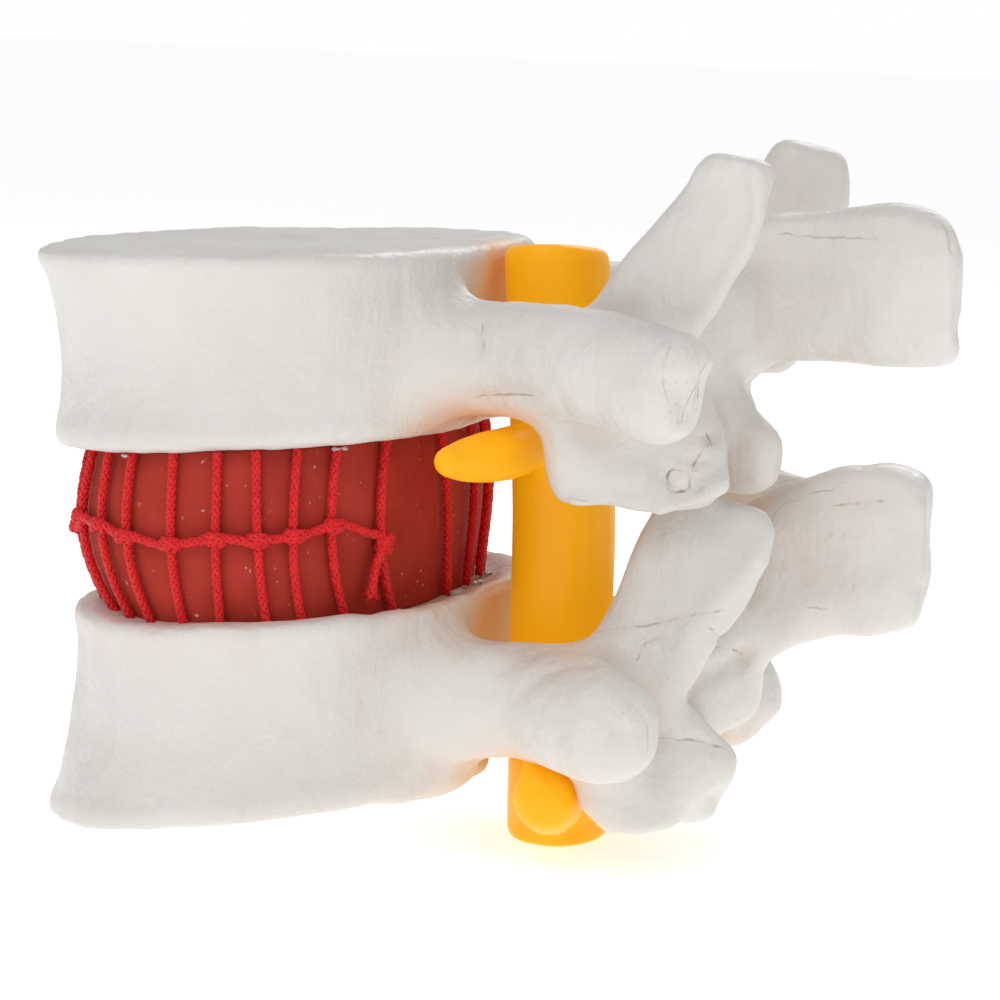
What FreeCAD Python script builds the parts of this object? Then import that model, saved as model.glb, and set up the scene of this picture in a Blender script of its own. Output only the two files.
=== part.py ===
import FreeCAD, Part
import math
import os

os.makedirs("parts", exist_ok=True)

# Two lumbar vertebrae with the disc between them, the laced cords of its outer ring and the dural sac.
# Lengths are millimetres and angles are degrees.
# The model is drawn upright: +X points to the back, +Z up, x = 0 is near the back wall of the bodies,
# y = 0 is the middle of the bodies and z = 0 is near the middle of the disc. At the end it is tilted to
# the pose in which it stands, on its lower front rim and on the cut end of the dural sac.

# Vertebral bodies
body_width = 76.0
body_depth = 55.4
back_wall = 1.8
back_hollow = 1.2
upper_height = 22.6
lower_height = 23.5
waist_in = 3.6
waist_share = 0.42
rim_round = 1.5
seat_rim_round = 0.6
lower_rim_round = 2.4
upper_bottom_slope = 2.6
lower_top_slope = 2.6
lower_bottom_slope = 7.2
lower_top_set_in = 5.0

# Disc and its seat in the lower plate
disc_height = 19.6
disc_centre = -0.5
disc_front_margin = 7.0
disc_back_margin = 6.9
disc_side_margin = 4.2
seat_depth = 1.1
seat_margin = 2.6
seat_slant = 1.2

# Arches
pedicle_spread = 19.6
pedicle_thickness = 10.0
canal_depth = 22.5
upper_notch = 9.1
lower_notch = 4.2
lamina_thickness = 6.6
lamina_height = 17.0
spine_thickness = 8.4
far_wing_rise = 2.2
upper_arch_rise = 0.3
lower_arch_rise = 0.5

# Dural sac and nerve roots
sac_depth = 12.0
sac_width = 16.0
sac_gap = 0.35
sac_top_drop = 0.6
sac_top_tilt = 6.0
sac_bend_depth = 14.0
sac_play = 0.5
sac_spare_top = 3.0
sac_spare_foot = 16.0
root_thickness = 6.6
lower_root_drop = 5.4

# Cords
cord_diameter = 1.3
cord_gap = 0.3
tie_level = 0.2
tie_gap = 0.15
tail_length = 5.4

# Pose
rest_tilt = 2.4

# How finely the rings are divided
outline_sides = 60
limb_sides = 14
steps_per_span = 2
sac_sides = 24
root_sides = 8
cord_sides = 6
body_rings = [0.22, 0.42, 0.62, 0.82]

# Places of the cords round the disc, in degrees from the front by way of the near side
near_angles = [42.5, 58, 69.5, 84.5, 92.5, 101, 111, 123, 140.5]
back_angles = [170, 185, 200.5, 212, 225]
far_angles = [238, 251, 263, 275, 287, 299, 312, 328, 346, 8, 28]
cord_angles = near_angles + back_angles + far_angles

half_width = body_width / 2
plate_middle = -body_depth / 2
half_cord = cord_diameter / 2
disc_top = disc_centre + disc_height / 2
disc_bottom = disc_centre - disc_height / 2
seat_floor = disc_bottom - seat_depth
upper_middle = disc_top + upper_height / 2 + upper_arch_rise
lower_middle = disc_bottom - lower_height / 2 + lower_arch_rise
rim_bulge = 1 - math.sqrt(0.5)


def vec(x, y, z):
    return FreeCAD.Vector(x, y, z)


def signed_power(value, power):
    return math.copysign(abs(value) ** power, value)


def skin(rings):
    """Solid with flat facets over closed rings of equally many points, each ring in its own plane."""
    count = len(rings[0])
    faces = [Part.Face(Part.makePolygon(ring + ring[:1])) for ring in (rings[0], rings[-1])]
    for lower, upper in zip(rings, rings[1:]):
        for index in range(count):
            after = (index + 1) % count
            first = [lower[index], lower[after], upper[after], lower[index]]
            second = [lower[index], upper[after], upper[index], lower[index]]
            faces.extend(Part.Face(Part.makePolygon(corners)) for corners in (first, second))
    solid = Part.Solid(Part.Shell(faces))
    if solid.Volume < 0:
        solid.reverse()
    return solid


def outline_point(front, back, half, angle, hollow=0.0):
    """Point of a vertebral outline seen from above: round in front and at the sides, flatter at the back."""
    turn = math.radians(angle)
    flatness = 0.92 if math.cos(turn) > 0 else 0.66
    x = (front + back) / 2 - (back - front) / 2 * signed_power(math.cos(turn), flatness)
    y = -half * signed_power(math.sin(turn), 0.9)
    if math.cos(turn) < 0 and abs(y) < half / 3:
        x = x - hollow * math.cos(y / half * 1.5 * math.pi) ** 2
    return x, y


def on_plane(x, level, slope):
    """Height at x of a plane that rises to the back by the slope and has the level at the middle."""
    return level + (x - plate_middle) * math.tan(math.radians(slope))


def outline(front, back, half, level, slope, hollow=0.0):
    """The outline as a ring in a sloped plane."""
    points = []
    for index in range(outline_sides):
        x, y = outline_point(front, back, half, 360.0 * index / outline_sides, hollow)
        points.append(vec(x, y, on_plane(x, level, slope)))
    return points


def between(low, waist, high, share):
    """Smooth change of a measure from the bottom plate over the waist to the top plate."""
    return (low * (1 - share) * (waist_share - share) / waist_share
            + waist * share * (1 - share) / (waist_share * (1 - waist_share))
            + high * share * (share - waist_share) / (1 - waist_share))


def vertebral_body(low, waist, high, round_low, round_high):
    """Waisted body with rounded rims; a section is (front, back, half width, level, slope)."""
    height = high[3] - low[3]
    places = [(0.0, round_low)]
    places.append((rim_bulge * round_low / height, rim_bulge * round_low))
    places.append((round_low / height, 0.0))
    places.extend((share, 0.0) for share in body_rings)
    places.append((1 - round_high / height, 0.0))
    places.append((1 - rim_bulge * round_high / height, rim_bulge * round_high))
    places.append((1.0, round_high))
    rings = []
    for share, inset in places:
        front, back, half = (between(low[i], waist[i], high[i], share) for i in range(3))
        level, slope = (low[i] + (high[i] - low[i]) * share for i in (3, 4))
        rings.append(outline(front + inset, back - inset, half - inset, level, slope, back_hollow))
    return skin(rings)


def eased(stations):
    """The stations with more between them, on a smooth curve through them all."""
    spans = [(vec(*after[:3]) - vec(*before[:3])).Length for before, after in zip(stations, stations[1:])]
    rates = [[(after - before) / span for before, after in zip(*pair)]
             for pair, span in zip(zip(stations, stations[1:]), spans)]
    slopes = [rates[0]]
    for index in range(1, len(spans)):
        left = spans[index - 1]
        right = spans[index]
        slopes.append([(before * right + after * left) / (left + right)
                       for before, after in zip(rates[index - 1], rates[index])])
    slopes.append(rates[-1])
    fine = []
    for index, span in enumerate(spans):
        for step in range(steps_per_span):
            t = step / steps_per_span
            weights = (2 * t ** 3 - 3 * t ** 2 + 1, 3 * t ** 2 - 2 * t ** 3,
                       span * (t ** 3 - 2 * t ** 2 + t), span * (t ** 3 - t ** 2))
            known = zip(stations[index], stations[index + 1], slopes[index], slopes[index + 1])
            fine.append([sum(weight * value for weight, value in zip(weights, values)) for values in known])
    return fine + [stations[-1]]


def limb(stations, wide_axis, squareness=0.86, sides=limb_sides):
    """Process skinned over its stations: (x, y, z, half width, half thickness)."""
    fine = eased(stations)
    centres = [vec(*station[:3]) for station in fine]
    rings = []
    for index, station in enumerate(fine):
        before = centres[max(index - 1, 0)]
        after = centres[min(index + 1, len(centres) - 1)]
        along = (after - before).normalize()
        wide = (wide_axis - along * wide_axis.dot(along)).normalize()
        thin = along.cross(wide)
        ring = []
        for step in range(sides):
            angle = 2 * math.pi * (step + 0.5) / sides
            ring.append(centres[index]
                        + wide * (station[3] * signed_power(math.cos(angle), squareness))
                        + thin * (station[4] * signed_power(math.sin(angle), squareness)))
        rings.append(ring)
    return skin(rings)


def both_sides(shape):
    return [shape, shape.mirror(vec(0, 0, 0), vec(0, 1, 0))]


def placed(level, stations):
    """Stations of a process, raised to the middle of their vertebral body."""
    return [(x, y, z + level, wide, thin) for x, y, z, wide, thin in stations]


def behind(level, stations):
    """Stations of a process of the arch, from the front of the canal's roof and the middle of the body."""
    return placed(level, [(canal_depth + x, y, z, wide, thin) for x, y, z, wide, thin in stations])


def laminae(level, rise, root):
    """Roof of the canal: one bent plate from joint pillar to joint pillar."""
    stations = []
    for part in (-1.0, -0.62, 0.0, 0.62, 1.0):
        back = canal_depth + lamina_thickness / 2 + root * (1 - abs(part) ** 1.6) - 3.5 * abs(part)
        tall = lamina_height / 2 * (1 - 0.2 * abs(part))
        aside = pedicle_spread * 0.94 * part
        stations.append((back, aside, rise * (1 - abs(part)), tall, lamina_thickness / 2))
    return limb(placed(level, stations), vec(0, 0, 1))


def upper_vertebra():
    bottom = disc_top
    top = bottom + upper_height
    level = upper_middle
    side = -pedicle_spread
    thin = pedicle_thickness / 2
    spine = spine_thickness / 2
    upright = vec(0, 0, 1)
    core = vertebral_body((-body_depth + 2.6, back_wall - 0.6, half_width - 2.0, bottom, upper_bottom_slope),
                          (-body_depth + waist_in + 0.6, back_wall - 2.0, half_width - waist_in),
                          (-body_depth, back_wall, half_width, top, 0.0), rim_round, rim_round)
    pedicle = limb(placed(level, [
        (-6, side - 0.5, -1.5, 7.4, thin + 1.6),
        (2, side, -1.7, 6.4, thin + 0.4),
        (10, side + 0.2, -2.0, 6.2, thin),
        (canal_depth - 2.5, side + 1, -3.0, 7.0, thin - 1)
    ]), upright)
    joint_up = limb(behind(level, [
        (-4.5, side + 1, -4.5, 7.0, 3.6),
        (-0.1, side, 3.4, 6.9, 4.2),
        (5.7, side - 1.4, 11.0, 6.4, 4.0),
        (9.7, side - 2.0, 17.0, 5.8, 3.4),
        (10.9, side - 2.2, 21.2, 4.0, 2.2)
    ]), vec(1, -0.45, 0))
    near_flange = limb(behind(level, [
        (-4.7, side, -0.5, 7.6, 3.4),
        (-1.8, side - 1.4, -8.0, 10.0, 3.4),
        (-0.8, side - 1.9, -14.2, 10.4, 3.1),
        (-0.9, side - 1.9, -17.9, 9.2, 2.4)
    ]), vec(1, 0, 0), 0.74)
    far_flange = limb(behind(level, [
        (-4.7, -side, -0.5, 7.0, 3.4),
        (-3.4, -side + 1.0, -7.6, 7.2, 3.4),
        (-3.2, -side + 1.4, -12.6, 6.8, 3.0),
        (-3.4, -side + 1.4, -16.0, 5.2, 2.4)
    ]), vec(1, 0, 0), 0.74)
    near_knob = limb(behind(level, [
        (3.2, -8.6, -1.0, 4.2, 3.6),
        (4.2, -8.0, -6.4, 4.0, 3.8),
        (6.4, -7.2, -13.0, 5.4, 4.2),
        (6.4, -6.8, -17.4, 3.4, 2.8)
    ]), vec(1, 0, 0))
    far_knob = limb(behind(level, [
        (2.2, 7.6, -1.0, 3.8, 3.4),
        (2.4, 7.4, -6.4, 3.6, 3.6),
        (3.4, 7.0, -12.4, 4.4, 3.8),
        (3.2, 6.8, -16.4, 2.8, 2.4)
    ]), vec(1, 0, 0))
    wing = limb(placed(level, [
        (4, side + 1, -1.0, 6.2, 4.0),
        (14.0, side - 6.2, -0.9, 6.5, 4.8),
        (23.0, side - 11.8, -2.0, 6.4, 4.6),
        (29.4, side - 15.8, -3.2, 6.2, 4.2),
        (31.0, side - 16.8, -3.6, 4.6, 3.0)
    ]), upright, 0.8)
    process = limb(behind(level, [
        (4.5, 0, 3.4, 6.8, 3.4),
        (9.5, 0, 5.6, 8.6, spine + 0.4),
        (16.5, 0, 6.5, 9.1, spine - 0.5),
        (30.1, 0, 6.3, 9.3, spine),
        (31.9, 0, 6.3, 8.4, spine - 1.0)
    ]), upright, 0.74)
    pieces = [laminae(level, 3.4, 4.0), process]
    for shape in (pedicle, joint_up):
        pieces.extend(both_sides(shape))
    far_wing = both_sides(wing)[1]
    far_wing.translate(vec(-1.4, 0, far_wing_rise))
    pieces.extend([wing, far_wing, near_flange, far_flange, near_knob, far_knob])
    return core.multiFuse(pieces)


def lower_vertebra():
    top = disc_bottom
    bottom = top - lower_height
    level = lower_middle
    side = -pedicle_spread
    thin = pedicle_thickness / 2
    spine = spine_thickness / 2
    upright = vec(0, 0, 1)
    front = -body_depth + lower_top_set_in
    core = vertebral_body((-body_depth + 0.2, back_wall - 0.8, half_width - 1.0, bottom, lower_bottom_slope),
                          (-body_depth + waist_in + 1.0, back_wall - 2.4, half_width - waist_in + 0.4),
                          (front, back_wall - 1.2, half_width - 1.2, top, lower_top_slope),
                          lower_rim_round, seat_rim_round)
    back = back_wall - 1.2
    half = half_width - 1.2
    mouth = seat_margin
    foot = seat_margin + seat_slant
    seat = skin([outline(front + mouth, back - mouth, half - mouth, top + 0.01, lower_top_slope),
                 outline(front + foot, back - foot, half - foot, seat_floor, lower_top_slope)])
    core = core.cut(seat)
    pedicle = limb(placed(level, [
        (-6, side - 0.5, 1.6, 8.0, thin + 2.2),
        (2, side, 1.8, 7.0, thin + 1),
        (10, side + 0.2, 2.0, 6.6, thin + 0.4),
        (canal_depth - 2.5, side + 1.4, 2.0, 7.0, thin - 1)
    ]), upright)
    joint_up = limb(behind(level, [
        (-5.5, side + 1.6, -1.0, 7.0, 3.6),
        (-0.3, side + 2.4, 8.0, 6.8, 3.8),
        (4.0, side + 3.4, 15.2, 7.6, 3.2),
        (7.0, side + 4.0, 21.0, 8.0, 2.6),
        (8.2, side + 4.2, 25.4, 5.4, 1.8)
    ]), vec(1, -0.06, 0))
    near_facet = limb(behind(level, [
        (-4.1, side + 1.4, 5.0, 5.6, 3.2),
        (-2.1, side + 0.8, -1.6, 7.4, 4.4),
        (0.9, side + 0.4, -7.4, 9.4, 4.6),
        (1.7, side, -12.0, 6.6, 3.4)
    ]), vec(1, 0.22, 0))
    far_facet = limb(behind(level, [
        (-3.1, -side - 1.4, 5.0, 6.0, 3.2),
        (-0.3, -side - 2.0, 0.2, 7.4, 4.2),
        (1.4, -side - 3.0, -3.8, 6.8, 4.0),
        (-0.4, -side - 3.4, -6.8, 4.0, 2.6)
    ]), vec(1, -0.22, 0))
    wing = limb(placed(level, [
        (8.0, side + 1.5, 1.6, 6.8, 6.2),
        (14.6, side - 4.8, 1.4, 6.8, 6.2),
        (20.4, side - 11.4, 1.2, 6.6, 5.8),
        (23.2, side - 15.0, 1.2, 5.0, 4.8),
        (24.0, side - 16.2, 1.2, 2.6, 2.6)
    ]), upright, 0.9)
    process = limb(behind(level, [
        (2.5, 0, 6.8, 7.4, 3.4),
        (8.5, 0, 13.2, 8.6, spine + 0.4),
        (15.5, 0, 16.8, 9.6, spine - 0.2),
        (27.1, 0, 18.9, 9.7, spine + 0.3),
        (29.3, 0, 18.9, 8.0, spine - 1.0)
    ]), upright, 0.74)
    pieces = [laminae(level, 5.0, 3.4), process]
    for shape in (pedicle, joint_up, wing):
        pieces.extend(both_sides(shape))
    pieces.extend([near_facet, far_facet])
    return core.multiFuse(pieces)


def disc_levels():
    """Outlines of the disc from its foot in the seat up to the upper plate."""
    front = -body_depth + disc_front_margin
    back = back_wall - disc_back_margin
    half = half_width - disc_side_margin
    return [(front + 3.8, back - 1.0, half - 2.4, seat_floor, lower_top_slope),
            (front + 1.4, back - 0.5, half - 0.9, disc_bottom * 0.62, 2.6),
            (front, back, half, disc_bottom * 0.12, 2.6),
            (front + 0.1, back, half - 0.1, disc_top * 0.4, 2.6),
            (front + 1.2, back - 0.6, half - 1.3, disc_top, upper_bottom_slope)]


def disc():
    return skin([outline(*level) for level in disc_levels()])


def strand(points):
    """Plain cord through its points, with flat ends."""
    rings = []
    upright = abs((points[-1] - points[0]).normalize().z) > 0.7
    side_axis = vec(0.94, 0.33, 0) if upright else vec(0.31, 0.17, 0.93)
    for index, point in enumerate(points):
        before = points[max(index - 1, 0)]
        after = points[min(index + 1, len(points) - 1)]
        along = (after - before).normalize()
        first = (side_axis - along * side_axis.dot(along)).normalize()
        second = along.cross(first)
        corners = []
        for step in range(cord_sides):
            angle = 2 * math.pi * step / cord_sides
            corners.append(point + (first * math.cos(angle) + second * math.sin(angle)) * half_cord)
        rings.append(corners)
    return skin(rings)


def round_disc(angle, level_index, away):
    """Point beside the disc at one of its levels, this far from its surface."""
    front, back, half, level, slope = disc_levels()[level_index]
    x, y = outline_point(front - away, back + away, half + away, angle)
    return vec(x, y, on_plane(x, level, slope))


def part_way(start, end, share):
    return start + (end - start) * share


def upright_cord(angle):
    """Cord held between the two plates, bowed out over the disc."""
    away = cord_gap + half_cord
    points = [round_disc(angle, index, away) for index in range(len(disc_levels()))]
    foot = (seat_depth + cord_gap) / (points[1].z - points[0].z)
    head = cord_gap / (points[-1].z - points[-2].z)
    points[0] = part_way(points[0], points[1], foot)
    points[-1] = part_way(points[-1], points[-2], head)
    return strand(points)


def tie_cord():
    """Cord knotted across the upright cords, all round the front, with a short free tail at each end."""
    away = cord_gap + cord_diameter + tie_gap + half_cord
    path = []
    for angle in near_angles[::-1] + far_angles[::-1]:
        point = round_disc(angle, 2, away)
        path.append(vec(point.x, point.y, point.z + tie_level))
    ring = strand(path)
    tails = []
    for end, lean in ((path[0], 1.0), (path[-1], -1.0)):
        first = vec(end.x - cord_diameter * 0.8, end.y - lean * 0.5, end.z - cord_diameter - tie_gap)
        last = vec(first.x - tail_length * 0.25, first.y, first.z - tail_length * 0.95)
        tails.append(strand([first, last]))
    return Part.makeCompound([ring] + tails)


def dural_sac():
    """Flattened tube through both canals with two pairs of nerve roots; its foot is cut off at the end."""
    middle = back_wall - back_hollow + sac_gap + sac_depth / 2 + sac_play
    top = disc_top + upper_height - sac_top_drop
    deep = sac_depth / 2
    wide = sac_width / 2
    low = disc_bottom - lower_height - sac_spare_foot
    tube = limb([
        (middle - sac_play, 0, top + sac_spare_top, deep, wide),
        (middle, 0, top - sac_bend_depth, deep, wide),
        (middle + sac_play, 0, 0, deep, wide),
        (middle + 0.4 * sac_play, 0, -sac_bend_depth, deep, wide),
        (middle - 0.8 * sac_play, 0, low, deep, wide)
    ], vec(1, 0, 0), 0.9, sac_sides)
    reach = 4 * sac_width
    lid = Part.makeBox(reach, reach, reach, vec(middle - reach / 2, -reach / 2, top))
    lid.rotate(vec(middle, 0, top), vec(1, 0, 0), -sac_top_tilt)
    root = root_thickness / 2
    upper_exit = upper_middle - upper_notch - root
    lower_exit = lower_middle - lower_notch - root
    high = limb([
        (middle, -3, upper_exit + 0.6, root * 0.7, root * 0.7),
        (middle - 0.6, -11, upper_exit + 0.4, root * 0.86, root * 0.86),
        (middle - 1.8, -18, upper_exit, root, root),
        (middle - 5.0, -25, upper_exit - 0.2, root * 0.84, root * 0.84),
        (middle - 6.9, -28.4, upper_exit - 0.2, root * 0.5, root * 0.5)
    ], vec(0, 0, 1), 1.0, root_sides)
    deep_root = limb([
        (middle, -3, lower_exit - lower_root_drop, root * 0.8, root * 0.8),
        (middle + 1.4, -10, lower_exit - lower_root_drop * 0.93, root, root),
        (middle + 2.8, -17, lower_exit - lower_root_drop * 0.56, root * 1.1, root * 1.1),
        (middle + 3.0, -21.2, lower_exit - lower_root_drop * 0.17, root * 0.74, root * 0.74),
        (middle + 2.6, -23.2, lower_exit + lower_root_drop * 0.18, root * 0.34, root * 0.34)
    ], vec(0, 0, 1), 1.0, root_sides)
    return tube.cut(lid).multiFuse(both_sides(high) + both_sides(deep_root))


def stood_up(shape):
    """The shape in the leaning pose in which the model rests."""
    turned = shape.copy()
    turned.rotate(vec(0, 0, 0), vec(0, 1, 0), -rest_tilt)
    return turned


def main():
    nodes = {
        "upper_vertebra": upper_vertebra(),
        "lower_vertebra": lower_vertebra(),
        "intervertebral_disc": disc()
    }
    for number, angle in enumerate(cord_angles, 1):
        nodes["annulus_cord_%02d" % number] = upright_cord(angle)
    nodes["tie_cord"] = tie_cord()
    nodes = {name: stood_up(shape) for name, shape in nodes.items()}
    floor = nodes["lower_vertebra"].optimalBoundingBox(False).ZMin
    sac = stood_up(dural_sac())
    reach = 4 * body_width
    below = Part.makeBox(reach, reach, reach, vec(-reach / 2, -reach / 2, floor - reach))
    nodes["dural_sac"] = sac.cut(below)
    bounds = FreeCAD.BoundBox()
    for shape in nodes.values():
        bounds.add(shape.optimalBoundingBox(False))
    shift = vec(-bounds.Center.x, -bounds.Center.y, -bounds.ZMin)
    print("tilt", rest_tilt, "shift", shift, "size", bounds.XLength, bounds.YLength, bounds.ZLength)
    for name, shape in nodes.items():
        shape.translate(shift)
        if not shape.isValid():
            print("not valid", name)
        shape.exportStep("parts/" + name + ".step")
    for name in ("upper_vertebra", "lower_vertebra", "intervertebral_disc", "dural_sac", "tie_cord"):
        print(name, len(nodes[name].Solids), round(nodes[name].Volume), len(nodes[name].Faces))


main()
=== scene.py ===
import math
import bmesh
import bpy
import numpy as np
import openvdb
from mathutils import Matrix, Vector


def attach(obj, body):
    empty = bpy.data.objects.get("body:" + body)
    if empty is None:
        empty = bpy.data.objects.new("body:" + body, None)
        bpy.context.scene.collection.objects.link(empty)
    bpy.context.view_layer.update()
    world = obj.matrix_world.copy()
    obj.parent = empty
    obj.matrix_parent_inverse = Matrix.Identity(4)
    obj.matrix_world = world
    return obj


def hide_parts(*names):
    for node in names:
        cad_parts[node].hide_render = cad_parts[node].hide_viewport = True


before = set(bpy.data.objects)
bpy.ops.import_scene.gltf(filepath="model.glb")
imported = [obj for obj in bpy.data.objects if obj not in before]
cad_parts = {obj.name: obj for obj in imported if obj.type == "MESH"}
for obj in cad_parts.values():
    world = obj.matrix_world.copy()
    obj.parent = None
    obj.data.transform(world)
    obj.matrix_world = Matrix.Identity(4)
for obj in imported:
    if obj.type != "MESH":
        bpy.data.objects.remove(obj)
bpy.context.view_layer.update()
mm = 0.001

# The model was drawn upright in millimetres, then leaned back until it stood; most places below are upright
stance = {
    "lean": 2.4,                        # degrees about the Y axis
    "shift": (1.2030, 0.0, 39.1495),    # millimetres
}
lean = Matrix.Rotation(math.radians(-stance["lean"]), 4, "Y")
toFrame = Matrix.Scale(mm, 4) @ Matrix.Translation(stance["shift"]) @ lean
fromFrame = toFrame.inverted()


def carried(matrix, points):
    m = np.array(matrix)
    return points @ m[:3, :3].T + m[:3, 3]


def inFrame(points):
    return carried(toFrame, points)


def inUpright(points):
    return carried(fromFrame, points)


# Helpers for node materials; noise scales count cells to the metre, and a bump is a strength and a height

def newMaterial(name):
    material = bpy.data.materials.new(name)
    material.use_nodes = True
    tree = material.node_tree
    where = tree.nodes.new("ShaderNodeTexCoord").outputs["Object"]
    return material, tree, tree.nodes["Principled BSDF"], where


def setSockets(node, values):
    for label, value in values.items():
        node.inputs[label].default_value = value


def feed(tree, socket, value):
    if isinstance(value, bpy.types.NodeSocket):
        tree.links.new(value, socket)
    else:
        socket.default_value = (*value, 1.0) if isinstance(value, tuple) else value


def skinValue(tree, label):
    node = tree.nodes.new("ShaderNodeAttribute")
    node.attribute_name = label
    return node.outputs["Fac"]


def noise(tree, where, scale, detail=4.0, roughness=0.55):
    node = tree.nodes.new("ShaderNodeTexNoise")
    setSockets(node, {"Scale": scale, "Detail": detail, "Roughness": roughness})
    tree.links.new(where, node.inputs["Vector"])
    return node.outputs["Fac"]


def stretched(tree, where, scale):
    node = tree.nodes.new("ShaderNodeMapping")
    setSockets(node, {"Scale": scale})
    tree.links.new(where, node.inputs["Vector"])
    return node.outputs["Vector"]


def ramp(tree, source, *stops):     # a stop is a place and a colour, or a place and a grey
    node = tree.nodes.new("ShaderNodeValToRGB")
    for element, (position, colour) in zip(node.color_ramp.elements, stops):
        element.position = position
        element.color = (*colour, 1.0) if isinstance(colour, tuple) else (colour, colour, colour, 1.0)
    tree.links.new(source, node.inputs["Fac"])
    return node.outputs["Color"]


def mixColour(tree, factor, first, second):
    node = tree.nodes.new("ShaderNodeMix")
    node.data_type = "RGBA"
    values = {"Factor": factor, "A": first, "B": second}
    for socket in node.inputs:
        if socket.enabled and socket.name in values:
            feed(tree, socket, values[socket.name])
    return [socket for socket in node.outputs if socket.enabled][0]


def maths(tree, operation, first, second=0.5, clamp=False):
    node = tree.nodes.new("ShaderNodeMath")
    node.operation = operation
    node.use_clamp = clamp
    feed(tree, node.inputs[0], first)
    feed(tree, node.inputs[1], second)
    return node.outputs[0]


def product(tree, first, *others):
    for other in others:
        first = maths(tree, "MULTIPLY", first, other)
    return first


def bump(tree, shader, height, strength, distance):     # laid over the bumps that the shader has already
    node = tree.nodes.new("ShaderNodeBump")
    setSockets(node, {"Strength": strength, "Distance": distance})
    tree.links.new(height, node.inputs["Height"])
    normal = shader.inputs["Normal"]
    if normal.is_linked:
        tree.links.new(normal.links[0].from_socket, node.inputs["Normal"])
    tree.links.new(node.outputs["Normal"], normal)


bonePlastic = {
    "colour": (0.735, 0.740, 0.712),
    "paleColour": (0.685, 0.682, 0.652),
    # painted shade, partly real grime: brownish colour laid into the recesses
    "recessGrimeShadeColour": (0.56, 0.455, 0.40),
    "glowColour": (0.90, 0.42, 0.16),       # light that the sac throws on the bone beside it
    "blushColour": (0.80, 0.42, 0.38),      # red thrown by the cords and shade in the arch
    "stainColour": (0.36, 0.25, 0.14),
    "lineColour": (0.24, 0.14, 0.07),
    "stainGain": 0.5,
    "wander": 0.7,                          # millimetres by which cracks and seams stray
    "lineWidth": 0.19,                      # millimetres
    "shine": (0.36, 0.50),                  # least and most roughness
    "sockets": {
        "Subsurface Weight": 0.10,
        "Subsurface Radius": (0.0014, 0.0010, 0.0007),
        "Subsurface Scale": 1.0,
        "Specular IOR Level": 0.42,
    },
    "clouds": 42.0,
    "smears": 190.0,
    "dust": 1500.0,
    "drifts": 420.0,
    "strays": 700.0,
    "breaks": 330.0,
    "pepper": 260.0,
    "gloss": 130.0,
    "waves": 170.0,
    "fine": 1500.0,
    "strokes": 900.0,
    "strokeStretch": (1.0, 1.0, 0.16),
    "waveBump": (0.55, 0.0014),
    "strokeBump": (0.30, 0.0004),
    "fineBump": (0.16, 0.00025),
    "crackBump": (-0.6, 0.0003),
}


def bonePlasticMaterial():
    look = bonePlastic
    material, tree, shader, where = newMaterial("bonePlastic")
    clouds = noise(tree, where, look["clouds"], 5.0)
    body = ramp(tree, clouds, (0.36, look["paleColour"]), (0.62, look["colour"]))
    # painted shade, partly real grime: the recesses turn brownish
    body = mixColour(tree, skinValue(tree, "recessGrimeShade"), body, look["recessGrimeShadeColour"])
    body = mixColour(tree, skinValue(tree, "glow"), body, look["glowColour"])
    smears = ramp(tree, noise(tree, where, look["smears"]), (0.35, 0.1), (0.65, 0.7))
    body = mixColour(tree, product(tree, skinValue(tree, "blush"), smears), body, look["blushColour"])
    grains = ramp(tree, noise(tree, where, look["dust"], 4.0, 0.75), (0.50, 0.0), (0.66, 1.0))
    drifts = ramp(tree, noise(tree, where, look["drifts"], 3.0, 0.6), (0.46, 0.0), (0.64, 1.0))
    dirt = product(tree, skinValue(tree, "stain"), grains, drifts, look["stainGain"])
    body = mixColour(tree, dirt, body, look["stainColour"])
    stray = maths(tree, "SUBTRACT", noise(tree, where, look["strays"], 3.0), 0.5)
    away = maths(tree, "ADD", skinValue(tree, "seam"), product(tree, stray, look["wander"]))
    gap = maths(tree, "ABSOLUTE", away)
    fade = maths(tree, "SUBTRACT", 1.0, maths(tree, "DIVIDE", gap, look["lineWidth"]), True)
    broken = ramp(tree, noise(tree, where, look["breaks"], 2.0), (0.40, 0.15), (0.55, 1.0))
    crack = product(tree, fade, skinValue(tree, "seamStrength"), broken)
    body = mixColour(tree, crack, body, look["lineColour"])
    specks = ramp(tree, noise(tree, where, look["pepper"], 2.0, 0.8), (0.775, 0.0), (0.80, 0.55))
    body = mixColour(tree, specks, body, look["stainColour"])
    tree.links.new(body, shader.inputs["Base Color"])
    least, most = look["shine"]
    shine = ramp(tree, noise(tree, where, look["gloss"]), (0.3, least), (0.7, most))
    tree.links.new(shine, shader.inputs["Roughness"])
    setSockets(shader, look["sockets"])
    strokes = noise(tree, stretched(tree, where, look["strokeStretch"]), look["strokes"], 3.0)
    bump(tree, shader, noise(tree, where, look["waves"]), *look["waveBump"])
    bump(tree, shader, strokes, *look["strokeBump"])
    bump(tree, shader, noise(tree, where, look["fine"], 3.0), *look["fineBump"])
    bump(tree, shader, crack, *look["crackBump"])
    return material


discRubber = {
    "colour": (0.47, 0.052, 0.034),
    "deepColour": (0.36, 0.034, 0.022),
    "speckColour": (0.85, 0.60, 0.50),
    "clouds": 95.0,
    "grains": 900.0,
    "patches": 60.0,
    "waves": 120.0,
    "fine": 1200.0,
    "waveBump": (0.3, 0.0010),
    "fineBump": (0.2, 0.0002),
    "sockets": {"Roughness": 0.62, "Specular IOR Level": 0.03},
}


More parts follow.
